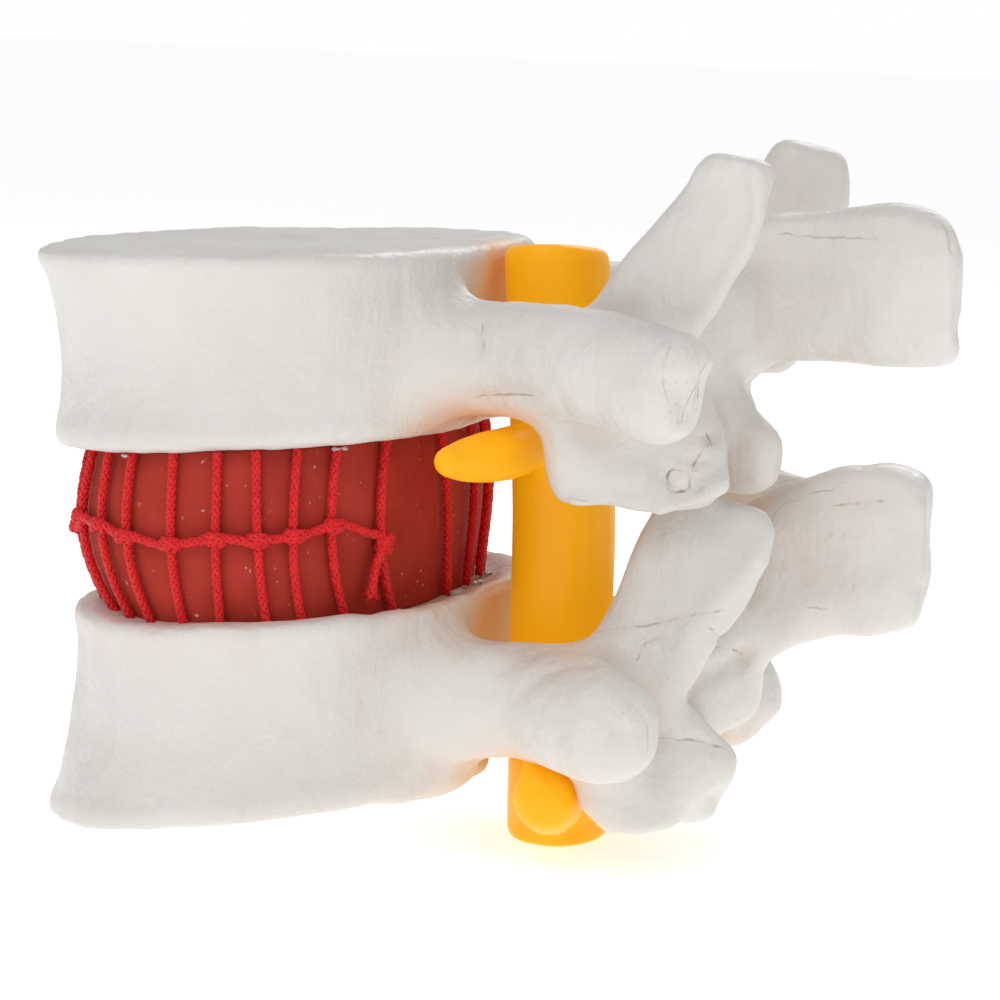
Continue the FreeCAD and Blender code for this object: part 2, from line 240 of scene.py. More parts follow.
def discRubberMaterial():
    look = discRubber
    material, tree, shader, where = newMaterial("discRubber")
    clouds = noise(tree, where, look["clouds"], 5.0)
    body = ramp(tree, clouds, (0.32, look["deepColour"]), (0.66, look["colour"]))
    patches = ramp(tree, noise(tree, where, look["patches"], 3.0), (0.35, 0.2), (0.7, 1.0))
    specks = ramp(tree, noise(tree, where, look["grains"], 2.0, 0.6), (0.70, 0.0), (0.74, 0.75))
    body = mixColour(tree, product(tree, specks, patches), body, look["speckColour"])
    tree.links.new(body, shader.inputs["Base Color"])
    setSockets(shader, look["sockets"])
    bump(tree, shader, noise(tree, where, look["waves"], 3.0), *look["waveBump"])
    bump(tree, shader, noise(tree, where, look["fine"]), *look["fineBump"])
    return material


cordRed = {
    "colour": (0.80, 0.010, 0.012),
    "deepColour": (0.48, 0.003, 0.005),
    "tuftColour": (0.95, 0.03, 0.03),
    "fibres": 5200.0,
    "tufts": 700.0,
    "fibreBump": (0.25, 0.0001),
    "sockets": {"Roughness": 0.55, "Specular IOR Level": 0.35, "Sheen Weight": 0.08, "Sheen Roughness": 0.4},
}


def cordRedMaterial():
    look = cordRed
    material, tree, shader, where = newMaterial("cordRed")
    fibres = noise(tree, where, look["fibres"], 3.0, 0.6)
    tufts = ramp(tree, noise(tree, where, look["tufts"], 3.0), (0.45, 0.0), (0.75, 0.35))
    body = ramp(tree, fibres, (0.3, look["deepColour"]), (0.62, look["colour"]))
    body = mixColour(tree, tufts, body, look["tuftColour"])
    tree.links.new(body, shader.inputs["Base Color"])
    setSockets(shader, look["sockets"])
    bump(tree, shader, fibres, *look["fibreBump"])
    return material


sacPlastic = {
    "colour": (0.82, 0.385, 0.005),
    "deepColour": (0.78, 0.33, 0.003),
    "speckColour": (0.9, 0.75, 0.5),
    "clouds": 60.0,
    "grains": 480.0,
    "waves": 110.0,
    "fine": 900.0,
    "waveBump": (0.25, 0.0010),
    "fineBump": (0.10, 0.0002),
    "sockets": {
        "Roughness": 0.42,
        "Specular IOR Level": 0.25,
        "Emission Color": (0.29, 0.140, 0.001, 1.0),        # light that comes through the soft plastic
        "Emission Strength": 1.0,
        "Subsurface Weight": 0.25,
        "Subsurface Radius": (0.004, 0.002, 0.0006),
        "Subsurface Scale": 1.0,
    },
}


def sacPlasticMaterial():
    look = sacPlastic
    material, tree, shader, where = newMaterial("sacPlastic")
    body = ramp(tree, noise(tree, where, look["clouds"]), (0.3, look["deepColour"]), (0.7, look["colour"]))
    specks = ramp(tree, noise(tree, where, look["grains"], 2.0, 0.6), (0.775, 0.0), (0.80, 0.8))
    body = mixColour(tree, specks, body, look["speckColour"])
    tree.links.new(body, shader.inputs["Base Color"])
    setSockets(shader, look["sockets"])
    bump(tree, shader, noise(tree, where, look["waves"], 3.0), *look["waveBump"])
    bump(tree, shader, noise(tree, where, look["fine"], 3.0), *look["fineBump"])
    return material


clearGlue = {
    "colour": (0.93, 0.92, 0.90),
    "milkColour": (0.80, 0.76, 0.74),
    "milk": 500.0,
    "milkBump": (0.3, 0.0003),
    "sockets": {"Roughness": 0.18, "Transmission Weight": 0.55, "IOR": 1.47},
}


def clearGlueMaterial():
    look = clearGlue
    material, tree, shader, where = newMaterial("clearGlue")
    milk = noise(tree, where, look["milk"], 3.0)
    body = ramp(tree, milk, (0.35, look["milkColour"]), (0.65, look["colour"]))
    tree.links.new(body, shader.inputs["Base Color"])
    setSockets(shader, look["sockets"])
    bump(tree, shader, milk, *look["milkBump"])
    return material


materials = {
    "bone_plastic": bonePlasticMaterial(),
    "disc_rubber": discRubberMaterial(),
    "cord_red": cordRedMaterial(),
    "sac_plastic": sacPlasticMaterial(),
    "glue": clearGlueMaterial(),
}
print("materials made")


# Distance fields on a grid, used like clay: solids are blended, rounded and dented, then skinned again

clayRules = {
    "band": 9,              # voxels in which the distance is known, on both sides of a skin
    "margin": 3,            # voxels round them
    "blurReach": 2.5,       # standard deviations
}


def smoothStep(low, high, value):
    share = np.clip((value - low) / (high - low), 0.0, 1.0)
    return share * share * (3 - 2 * share)


def blurred(field, sigmas):
    for axis, sigma in enumerate(sigmas):
        reach = max(1, int(math.ceil(sigma * clayRules["blurReach"])))
        weights = np.exp(-0.5 * (np.arange(-reach, reach + 1) / sigma) ** 2)
        weights /= weights.sum()
        padded = np.pad(field, [(reach, reach) if i == axis else (0, 0) for i in range(3)], mode="edge")
        total = np.zeros_like(field)
        for offset, weight in enumerate(weights):
            part = [slice(None)] * 3
            part[axis] = slice(offset, offset + field.shape[axis])
            total += np.float32(weight) * padded[tuple(part)]
        field = total
    return field


def unevenField(shape, sigmas, seed):
    field = blurred(np.random.default_rng(seed).standard_normal(shape).astype(np.float32), sigmas)
    return field / field.std()


class Clay:
    def __init__(self, name, voxel, band=clayRules["band"]):
        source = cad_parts[name].data
        source.calc_loop_triangles()
        points = np.zeros(len(source.vertices) * 3, np.float32)
        source.vertices.foreach_get("co", points)
        corners = np.zeros(len(source.loop_triangles) * 3, np.int32)
        source.loop_triangles.foreach_get("vertices", corners)
        self.voxel = voxel
        self.band = band
        self.read(points.reshape(-1, 3), triangles=corners.reshape(-1, 3))

    def read(self, points, **faces):
        transform = openvdb.createLinearTransform(voxelSize=self.voxel)
        grid = openvdb.FloatGrid.createLevelSetFromPolygons(points, transform=transform,
                                                            halfWidth=self.band, **faces)
        low, high = grid.evalActiveVoxelBoundingBox()
        self.low = np.array(low) - clayRules["margin"]
        size = np.array(high) - self.low + clayRules["margin"] + 1
        self.field = np.zeros(size, np.float32)
        grid.copyToArray(self.field, ijk=tuple(int(v) for v in self.low))

    def skin(self, level=0.0):
        grid = openvdb.FloatGrid(self.voxel * self.band)
        grid.transform = openvdb.createLinearTransform(voxelSize=self.voxel)
        grid.copyFromArray(self.field, ijk=tuple(int(v) for v in self.low))
        points, triangles, quads = grid.convertToPolygons(isovalue=level, adaptivity=0.0)
        return points, quads[:, ::-1]

    def swell(self, distance):
        points, quads = self.skin(distance)
        self.read(points, quads=quads.astype(np.int32))

    def fillCreases(self, radius):
        self.swell(radius)
        self.swell(-radius)

    def fitted(self, other):        # another clay's field on this one's grid
        shift = self.low - other.low
        places = np.ix_(*[np.clip(np.arange(n) + step, 0, m - 1)
                          for n, step, m in zip(self.field.shape, shift, other.field.shape)])
        return other.field[places]

    def addCapsule(self, grid, start, end, radius, blend):
        fresh = (lineDistance(grid, [start, end]) - radius) * mm
        blend = blend * mm
        share = np.clip(0.5 + 0.5 * (self.field - fresh) / blend, 0, 1)
        merged = self.field * (1 - share) + fresh * share - blend * share * (1 - share)
        self.field = merged.astype(np.float32)

    def blur(self, radius):
        self.field = blurred(self.field, [radius / self.voxel] * 3)

    def roughen(self, height, sigmas, seed, where=1.0):
        self.field += height * where * unevenField(self.field.shape, sigmas, seed)

    def dent(self, grid, marks, gain=1.0):      # a depth below zero raises a ridge or a lump
        for line, width, depth in marks:
            press = depth * gain * mm * np.exp(-(lineDistance(grid, line) / width) ** 2)
            self.field += press.astype(np.float32)

    def uprightGrid(self):          # upright millimetres at each point of the grid
        axes = [(np.arange(n) + start) * self.voxel for n, start in zip(self.field.shape, self.low)]
        x, y, z = np.meshgrid(*axes, indexing="ij", sparse=True)
        m = np.array(fromFrame)
        return [(m[i, 0] * x + m[i, 1] * y + m[i, 2] * z + m[i, 3]).astype(np.float32) for i in range(3)]

    def sample(self, points, field):
        where = points / self.voxel - self.low
        corner = np.clip(np.floor(where).astype(int), 0, np.array(field.shape) - 2)
        share = np.clip(where - corner, 0, 1)
        total = 0.0
        for step in np.ndindex(2, 2, 2):
            weight = np.prod(np.where(np.array(step) == 1, share, 1 - share), axis=1)
            total = total + weight * field[tuple((corner + step).T)]
        return total


def lineDistance(grid, line):
    best = None
    points = [np.array(point, float) for point in line]
    for start, end in zip(points, points[1:] or points):
        along = end - start
        offsets = [grid[i] - start[i] for i in range(3)]
        length = float(along @ along)
        share = 0.0
        if length > 0:
            share = np.clip(sum(offsets[i] * along[i] for i in range(3)) / length, 0, 1)
        square = sum((offsets[i] - share * along[i]) ** 2 for i in range(3))
        best = square if best is None else np.minimum(best, square)
    return np.sqrt(best)


def unit(vectors):
    return vectors / np.maximum(np.linalg.norm(vectors, axis=-1, keepdims=True), 1e-9)


def tubeFaces(rings, sides, start):
    row = np.arange(rings - 1)[:, None] * sides
    column = np.arange(sides)[None]
    after = (column + 1) % sides
    quads = np.stack([row + column, row + after, row + sides + after, row + sides + column], axis=-1)
    return (quads + start).reshape(-1, 4)


def addToScene(name, data):
    thing = bpy.data.objects.new(name, data)
    bpy.context.scene.collection.objects.link(thing)
    return thing


def smoothObject(name, mesh):
    mesh.polygons.foreach_set("use_smooth", [True] * len(mesh.polygons))
    return addToScene(name, mesh)


def makeObject(name, points, faces):
    mesh = bpy.data.meshes.new(name)
    mesh.from_pydata(points.tolist(), [], faces if isinstance(faces, list) else faces.tolist())
    mesh.validate()
    return smoothObject(name, mesh)


def finishPiece(piece, slotName, nodes, material=None):
    piece.data.materials.clear()
    piece.data.materials.append(material or materials[slotName])
    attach(piece, "root")
    if nodes:
        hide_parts(*nodes)


# Measures of the disc, which also say where the plates lie; upright millimetres and degrees

discShape = {
    "levels": [-11.4, -6.386, -1.236, 3.72, 9.3],
    "front": [-44.6, -47.0, -48.4, -48.3, -47.2],
    "back": [-6.1, -5.6, -5.1, -5.1, -5.7],
    "half": [31.4, 32.9, 33.8, 33.7, 32.5],
    "frontRound": 0.92,         # 1 is an ellipse, less is squarer
    "backRound": 0.66,
    "sideRound": 0.9,
    "slope": 2.6,
    "hinge": -27.7,
    "footGap": 0.1,
    "headGap": 0.02,
    "around": 300,
    "up": 54,
    "cordPress": 0.12,          # depth of the groove under each upright cord
    "pressSpread": 2.2,         # degrees squared
}


# Dural sac with its nerve roots; the vertebrae read its clay for the light that it throws on them

sacShape = {
    "voxel": 0.45 * mm,
    "band": 18,
    "creaseRadius": 2.2 * mm,
    "edgeRadius": 0.6 * mm,
    "unevenness": 0.09 * mm,
    "unevenSpread": (8, 8, 8),
    "seed": 5,
    "roots": [                  # start, end, radius and blend in upright millimetres
        ((11.0, -20.6, -31.0), (11.0, -18.0, -31.6), 3.7, 1.5),
        ((10.6, -21.6, -29.0), (9.4, -21.2, -26.4), 1.15, 1.4),
        ((11.0, 20.6, -31.0), (11.0, 18.0, -31.6), 3.7, 1.5),
    ],
    "marks": [
        ([(0.2, -28.4, 8.6), (1.6, -28.0, 8.8)], 1.2, -0.3),
        ([(2.6, -28.0, 11.0), (3.4, -27.5, 6.0)], 0.8, 0.25),
        ([(12.4, -6.0, -2.0), (12.6, -5.6, 2.0)], 2.0, -0.25),
        ([(13.4, -3.0, -37.0), (9.0, -8.4, -37.4), (2.5, -5.0, -37.0)], 1.5, 0.35),
    ],
}
sacClay = Clay("dural_sac", sacShape["voxel"], sacShape["band"])


def makeSac():
    sacClay.fillCreases(sacShape["creaseRadius"])
    grid = sacClay.uprightGrid()
    for start, end, radius, blend in sacShape["roots"]:
        sacClay.addCapsule(grid, start, end, radius, blend)
    sacClay.blur(sacShape["edgeRadius"])
    sacClay.dent(grid, sacShape["marks"])
    sacClay.roughen(sacShape["unevenness"], sacShape["unevenSpread"], sacShape["seed"])
    points, quads = sacClay.skin()
    finishPiece(makeObject("duralSac", points, quads), "sac_plastic", ["dural_sac"])
    print("duralSac", len(quads), "faces")


# Vertebrae

boneShape = {
    "voxel": 0.58 * mm,
    "bodyCrease": 3.6 * mm,     # fillet where the pedicles leave the body
    "archCrease": 2.0 * mm,
    "archFrom": (9.0, 17.0),    # upright x in millimetres over which body turns into arch
    "edgeRadius": 0.55 * mm,
    "wallRadius": 1.9 * mm,     # stronger rounding on the walls of the bodies
    "wallOverPlate": (2.0, 6.5),    # upright millimetres over which it sets in
    "wallUnderPlate": (1.5, 5.5),
    "wallFront": (1.0, -3.0),
    "unevenness": 0.14 * mm,
    "unevenSpread": (8, 8, 8),  # voxels, as the other spreads
    "lumps": 0.17 * mm,
    "lumpSpread": (3.4, 3.4, 3.4),
    "handStrokes": 0.06 * mm,
    "strokeSpread": (1.6, 1.6, 5.5),
    "glowReach": 2.6 * mm,
    "hollowGrimeShadeSpread": 3.2,
    "hollowGrimeShadeFrom": 0.515,        # share of solid round a point from which it counts as a recess, darkened with painted shade and grime
    "hollowGrimeShadeGain": 4.5,
    "markDepth": 1.35,          # all depths of the marks are multiplied by this
    "riseFront": (-34.0, -48.0),
    "riseHeight": (-24.0, -12.0),
    "spotFade": 1.2,
    "seamReach": 2.5,           # millimetres, as the next two
    "seamEnd": 0.4,
    "seamSide": 0.9,
}

# A mark is a line of upright places in millimetres, a width and a depth; a depth below zero raises a ridge.
# A stain or blush is a place, a radius and a strength, and a seam is a fine crack's line and strength.
upperVertebra = {
    "node": "upper_vertebra",
    "seed": 11,
    "plates": ((9.3, 2.6), (31.9, 0.0)),    # low and high, each a height at the disc's hinge and a slope
    "frontRise": 0.0,
    "marks": [
        ([(4.1, -24.1, 15.3), (6.0, -24.6, 15.7), (8.6, -26.7, 15.9), (11.2, -29.0, 16.0)], 1.0, 0.40),
        ([(13.9, -23.6, 5.2), (16.9, -24.3, 5.5), (19.2, -24.3, 5.0), (22.7, -24.5, 5.6)], 0.9, 0.30),
        ([(26.1, -24.4, 7.5), (26.4, -24.4, 6.4)], 0.8, 0.6),
        ([(27.3, -24.2, 5.4)], 0.9, 0.6),
        ([(28.9, -23.9, 8.9)], 0.8, 0.5),
        ([(29.0, -23.9, 6.5), (28.4, -23.9, 5.2)], 0.8, 0.5),
        ([(30.2, -23.2, 11.6)], 0.8, 0.45),
        ([(31.5, -35.5, 21.5), (32.4, -34.6, 18.5), (31.6, -35.0, 14.8)], 1.2, 0.35),
        ([(29.0, -38.0, 18.5), (30.4, -37.2, 16.0)], 1.5, 0.35),
        ([(30.0, -36.0, 23.5), (32.2, -34.0, 21.0)], 1.3, -0.5),
        ([(20.3, -21.7, 29.6), (24.4, -22.1, 35.1)], 2.2, -0.35),
        ([(35.6, -24.5, 41.3), (36.3, -24.9, 36.6), (34.9, -24.9, 32.7), (32.4, -24.8, 29.2),
          (29.9, -24.5, 26.0)], 1.1, -0.55),
        ([(37.6, -21.5, 38.0), (36.8, -20.5, 33.0), (33.5, -19.5, 28.5)], 2.4, 0.8),
        ([(29.0, -22.7, 40.8), (31.3, -23.5, 41.9), (34.8, -23.0, 42.1)], 1.8, -0.6),
        ([(28.0, -26.0, 33.0), (31.5, -27.0, 37.5)], 2.6, 0.35),
        ([(31.6, 20.5, 42.0), (36.0, 21.5, 41.0), (37.2, 21.7, 36.0)], 3.2, -1.1),
        ([(37.4, -22.5, 41.5), (38.2, -22.0, 37.5)], 2.2, -0.8),
        ([(33.2, -9.0, 17.6)], 1.3, -0.7),
        ([(33.2, -9.5, 15.4)], 1.0, 0.5),
        ([(34.9, -9.0, 9.5), (34.7, -8.6, 6.0)], 3.4, -1.7),
        ([(33.6, -9.5, 14.5)], 2.0, 0.7),
        ([(32.0, -11.5, 12.5), (30.6, -12.0, 8.5)], 1.4, 0.5),
        ([(15.1, -24.2, 3.6), (19.5, -24.4, 2.9), (24.0, -24.4, 2.4), (28.3, -24.2, 3.4),
          (31.2, -23.4, 5.6)], 1.1, -0.6),
        ([(32.0, -22.8, 5.9)], 1.6, -1.0),
        ([(31.6, -22.8, 2.6), (28.6, -23.6, 1.8)], 2.2, 1.0),
        ([(31.3, -23.0, 9.8), (31.6, -22.9, 7.4)], 1.2, -0.4),
        ([(18.0, -25.0, 8.8), (23.0, -25.0, 8.3)], 2.8, 0.55),
        ([(-20.0, -37.5, 30.5), (-8.0, -33.5, 30.2), (2.0, -24.0, 29.0)], 1.6, -0.2),
        ([(-46.0, -20.0, 30.0), (-36.0, -34.0, 30.0)], 1.2, -0.15),
        ([(-47.5, -21.0, 21.0), (-48.0, -21.5, 12.5)], 5.0, -0.45),
        ([(34.2, -24.8, 41.0), (34.7, -25.0, 36.6), (33.3, -25.0, 32.7), (30.9, -24.9, 29.2)], 0.8, 0.35),
        ([(4.4, -23.5, 23.3), (4.7, -24.5, 21.1)], 0.8, 0.3),
        ([(36.5, 0.0, 37.4), (45.0, 0.0, 38.2)], 2.4, 0.35),
        ([(34.8, -3.8, 33.6), (40.3, -4.4, 33.4), (45.7, -4.4, 33.2)], 1.1, 0.35),
        ([(54.6, 0.0, 36.6)], 2.8, 1.0),
        ([(54.8, -1.0, 30.0), (54.9, 0.0, 25.0)], 2.6, -0.6),
        ([(54.4, 0.0, 19.8)], 2.2, -0.7),
        ([(54.0, -3.4, 33.0), (54.2, -3.6, 22.0)], 1.0, -0.35),
        ([(44.0, -5.0, 26.5), (49.0, -5.0, 27.5)], 3.6, 0.35),
    ],
    "stains": [
        ((31.5, -36.0, 18.5), 5.5, 0.9), ((30.5, -36.5, 13.8), 3.0, 0.7), ((28.0, -24.0, 7.0), 3.6, 0.8),
        ((30.2, -23.2, 11.6), 1.6, 1.0), ((4.5, -24.0, 22.0), 2.2, 0.6), ((8.0, -26.0, 15.8), 2.5, 0.5),
        ((-16.0, 8.0, 31.9), 9.0, 0.4), ((53.0, -3.0, 34.0), 3.0, 0.5), ((-32.0, -37.0, 15.0), 6.0, 0.2),
    ],
    "blushes": [
        ((31.5, -20.0, 12.0), 5.0, 0.30), ((34.0, -10.0, 10.0), 5.0, 0.30), ((36.0, 0.0, 25.0), 7.0, 0.25),
    ],
    "seams": [
        ([(26.0, -24.4, 7.8), (28.4, -24.1, 7.8), (28.4, -23.9, 6.6)], 0.4),
        ([(28.4, -23.9, 6.6), (28.4, -23.9, 5.3)], 0.8), ([(28.4, -23.9, 5.3), (27.2, -24.1, 5.3)], 1.0),
        ([(27.2, -24.1, 5.3), (25.9, -24.2, 5.3)], 0.5), ([(25.9, -24.2, 5.3), (26.0, -24.4, 6.6)], 0.45),
        ([(26.0, -24.4, 6.6), (26.0, -24.4, 7.8)], 1.0), ([(30.2, -23.2, 12.1), (30.4, -23.1, 11.0)], 1.0),
        ([(28.8, -23.9, 8.4), (29.4, -23.8, 9.4)], 0.9), ([(4.4, -23.5, 23.3), (4.8, -24.5, 21.1)], 0.6),
        ([(5.2, -24.0, 23.0), (5.0, -24.6, 21.4)], 0.4),
        ([(4.1, -24.1, 15.3), (6.0, -24.6, 15.7), (8.6, -26.7, 15.9), (11.2, -29.0, 16.0)], 0.6),
        ([(31.2, -36.6, 21.5), (32.2, -35.0, 17.0)], 0.55),
        ([(32.0, -35.4, 20.5), (30.8, -37.0, 14.5)], 0.5),
        ([(29.0, -38.0, 22.5), (28.4, -38.4, 18.5), (29.2, -37.6, 14.5)], 0.35),
        ([(34.8, -4.0, 33.6), (40.3, -4.4, 33.4), (45.7, -4.4, 33.2)], 0.45),
        ([(15.1, -24.2, 4.2), (18.2, -24.4, 3.8), (20.0, -24.4, 3.0)], 0.4),
        ([(20.5, -24.4, 10.5), (22.4, -24.4, 11.4)], 0.3), ([(53.4, -3.2, 34.5), (54.0, -3.2, 31.5)], 0.3),
    ],
}

lowerVertebra = {
    "node": "lower_vertebra",
    "seed": 23,
    "plates": ((-33.8, 7.2), (-10.3, 2.6)),
    "frontRise": 0.8,       # millimetres, on the rim in front of the disc
    "marks": [
        ([(9.7, -27.8, -17.2), (12.9, -28.9, -14.7), (17.2, -29.9, -13.4), (20.8, -25.4, -14.2),
          (23.9, -22.4, -16.4)], 1.3, 0.35),
        ([(24.6, -22.6, -17.6), (26.0, -23.0, -20.6), (26.2, -23.4, -24.0), (24.8, -24.4, -27.0)],
          1.6, 1.0),
        ([(27.1, -17.5, -18.7), (28.6, -13.0, -17.1), (30.4, -7.9, -16.3), (31.5, -4.1, -16.2)], 1.2, 0.6),
        ([(30.3, -19.5, -11.1), (29.9, -12.3, -13.4), (31.2, -5.2, -15.9)], 0.8, 0.4),
        ([(16.7, -18.9, -11.3), (21.9, -20.2, -10.6), (26.5, -20.0, -9.5), (30.6, -19.3, -8.6)], 0.8, 0.25),
        ([(25.0, -35.0, -16.8), (26.6, -34.0, -19.4), (26.6, -33.6, -22.3)], 1.0, 0.45),
        ([(22.0, -36.4, -16.6), (23.5, -36.6, -21.0)], 1.1, 0.4),
        ([(25.3, -22.0, -22.9), (28.9, -20.3, -23.4), (31.2, -19.0, -24.0)], 0.9, 0.5),
        ([(35.9, -16.9, 0.5), (34.9, -18.0, -2.6), (32.7, -18.8, -5.5), (29.8, -19.5, -8.5),
          (27.8, -20.2, -11.0), (26.8, -20.5, -14.3), (27.1, -20.0, -16.2)], 1.2, -0.55),
        ([(36.4, -14.0, -2.0), (33.4, -15.0, -7.5), (29.6, -15.5, -12.6)], 2.2, 0.8),
        ([(24.0, -23.6, -4.0), (28.5, -24.6, 0.5)], 3.0, 0.5),
        ([(-6.4, -26.0, -10.0), (0.5, -20.0, -9.4)], 1.5, -0.3),
        ([(31.6, -17.5, -25.5), (31.0, -14.0, -27.5)], 2.6, -1.0),
        ([(28.8, -21.0, -32.0), (30.2, -19.0, -30.5)], 1.7, 1.1),
        ([(25.8, -22.7, -33.2), (22.7, -23.2, -33.8)], 2.2, -0.4),
        ([(-47.2, -22.2, -23.0), (-47.6, -22.8, -27.0)], 4.5, -0.5),
        ([(37.5, 0.0, 7.0), (42.5, 0.0, 7.8)], 2.8, 0.7),
        ([(-45.0, -11.0, -12.4), (-43.0, -19.5, -12.3), (-37.0, -26.5, -12.0), (-29.0, -31.0, -11.7),
          (-20.0, -32.6, -11.3), (-10.0, -30.3, -10.8)], 2.2, -0.85),
        ([(18.5, -37.0, -19.5), (21.5, -37.0, -20.0)], 4.5, 0.6),
        ([(-4.5, -24.5, -30.4), (-2.1, -19.1, -29.4)], 2.8, -0.8),
        ([(-2.1, -19.1, -29.6), (-1.2, -15.8, -29.2), (0.0, -9.0, -29.2)], 3.0, -1.1),
        ([(-1.0, -16.0, -29.0), (2.0, -15.8, -27.6), (4.2, -16.0, -26.2)], 2.6, -0.75),
        ([(31.6, 22.0, -22.0), (30.4, 21.0, -26.0)], 3.6, -1.5),
        ([(41.4, -4.9, 2.1), (43.7, -5.0, 2.4), (46.6, -4.8, 2.8)], 0.8, 0.4),
        ([(52.2, 0.0, 7.4)], 2.8, 1.0),
        ([(52.0, 0.0, -9.5)], 2.4, 0.5),
        ([(51.6, -3.3, 1.7), (51.8, -3.3, -6.0)], 1.0, -0.4),
        ([(38.0, -4.6, -6.0), (45.0, -5.0, -5.0)], 3.4, 0.4),
    ],
    "stains": [
        ((25.4, -35.0, -19.0), 4.2, 0.8), ((21.0, -28.0, -13.5), 3.5, 0.5),
        ((28.0, -21.0, -23.0), 4.0, 0.5), ((30.5, -12.0, -13.5), 4.0, 0.5),
        ((22.0, -20.2, -10.5), 5.0, 0.4), ((-3.0, -22.0, -9.5), 3.0, 0.5), ((44.0, -4.8, 2.5), 4.0, 0.45),
        ((26.0, -30.0, -1.0), 5.0, 0.3),
    ],
    "blushes": [
        ((-47.0, -12.0, -11.1), 5.0, 0.35), ((-45.0, -20.0, -11.0), 5.0, 0.50),
        ((-39.0, -28.0, -10.9), 5.5, 0.55), ((-31.0, -33.0, -10.6), 5.0, 0.45),
        ((-21.0, -35.0, -10.2), 5.0, 0.30), ((-2.0, -26.0, -9.4), 5.0, 0.45),
        ((36.0, 0.0, -4.0), 7.0, 0.25), ((44.0, -4.9, 2.3), 3.0, 0.35),
    ],
    "seams": [
        ([(16.7, -18.9, -11.3), (21.9, -20.2, -10.6), (26.5, -20.0, -9.5), (30.6, -19.3, -8.6)], 0.65),
        ([(30.3, -19.5, -11.1), (29.9, -12.3, -13.4), (31.2, -5.2, -15.9)], 0.8),
        ([(25.3, -22.0, -22.9), (28.9, -20.3, -23.4), (31.2, -19.0, -24.0)], 0.7),
        ([(25.0, -35.0, -16.8), (26.6, -34.0, -19.4), (26.6, -33.6, -22.3)], 0.35),
        ([(9.7, -27.8, -17.2), (12.9, -28.9, -14.7), (17.2, -29.9, -13.4)], 0.3),
        ([(41.4, -4.9, 2.1), (43.7, -5.0, 2.4), (46.6, -4.8, 2.8)], 0.65),
        ([(33.0, -14.0, -6.0), (33.6, -13.0, -4.6)], 0.8),
        ([(24.0, -20.0, -15.6), (25.0, -20.0, -16.0)], 0.6),
        ([(38.5, -4.4, -10.2), (40.5, -4.4, -10.4)], 0.5),
        ([(-24.0, -38.0, -26.0), (-23.6, -38.0, -27.2)], 0.4),
    ],
}

def seamFields(piece, points, lines):       # signed distance to the nearest crack, and its strength
    normals = np.empty(len(points) * 3, np.float32)
    piece.data.vertex_normals.foreach_get("vector", normals)
    upright = inUpright(points)
    normals = inUpright(points + normals.reshape(-1, 3) * mm) - upright
    reach = boneShape["seamReach"]
    away, nearest = np.full(len(points), reach), np.full(len(points), reach)
    strengths = np.zeros(len(points))
    for line, strength in lines:
        corners = [np.array(corner) for corner in line]
        for start, end in zip(corners, corners[1:]):
            length = np.linalg.norm(end - start)
            along = (end - start) / length
            run = (upright - start) @ along
            beyond = run - np.clip(run, 0, length)
            offset = upright - start - np.outer(run, along)
            lift = np.einsum("ij,ij->i", offset, normals)
            across = np.einsum("ij,ij->i", offset, np.cross(normals, along))
            gap = np.hypot(across, beyond)
            near = (np.abs(lift) < reach) & (gap < nearest)
            nearest[near] = gap[near]
            away[near] = across[near]
            fading = np.exp(-(beyond / boneShape["seamEnd"]) ** 2 - (across / boneShape["seamSide"]) ** 2)
            strengths[near] = (strength * fading)[near]
    return away, strengths


def spots(upright, places):
    total = np.zeros(len(upright))
    for centre, radius, strength in places:
        reach = np.linalg.norm(upright - np.array(centre), axis=1) / radius
        total = np.maximum(total, strength * np.exp(-reach ** 2 * boneShape["spotFade"]))
    return total


def wallShare(x, z, plates):        # 1 on the walls of the body, 0 on its plates and behind it
    (low, lowSlope), (high, highSlope) = plates
    behind = x - discShape["hinge"]
    overLow = z - low - behind * math.tan(math.radians(lowSlope))
    underHigh = high - z + behind * math.tan(math.radians(highSlope))
    overLow = smoothStep(*boneShape["wallOverPlate"], overLow)
    underHigh = smoothStep(*boneShape["wallUnderPlate"], underHigh)
    return overLow * underHigh * smoothStep(*boneShape["wallFront"], x)


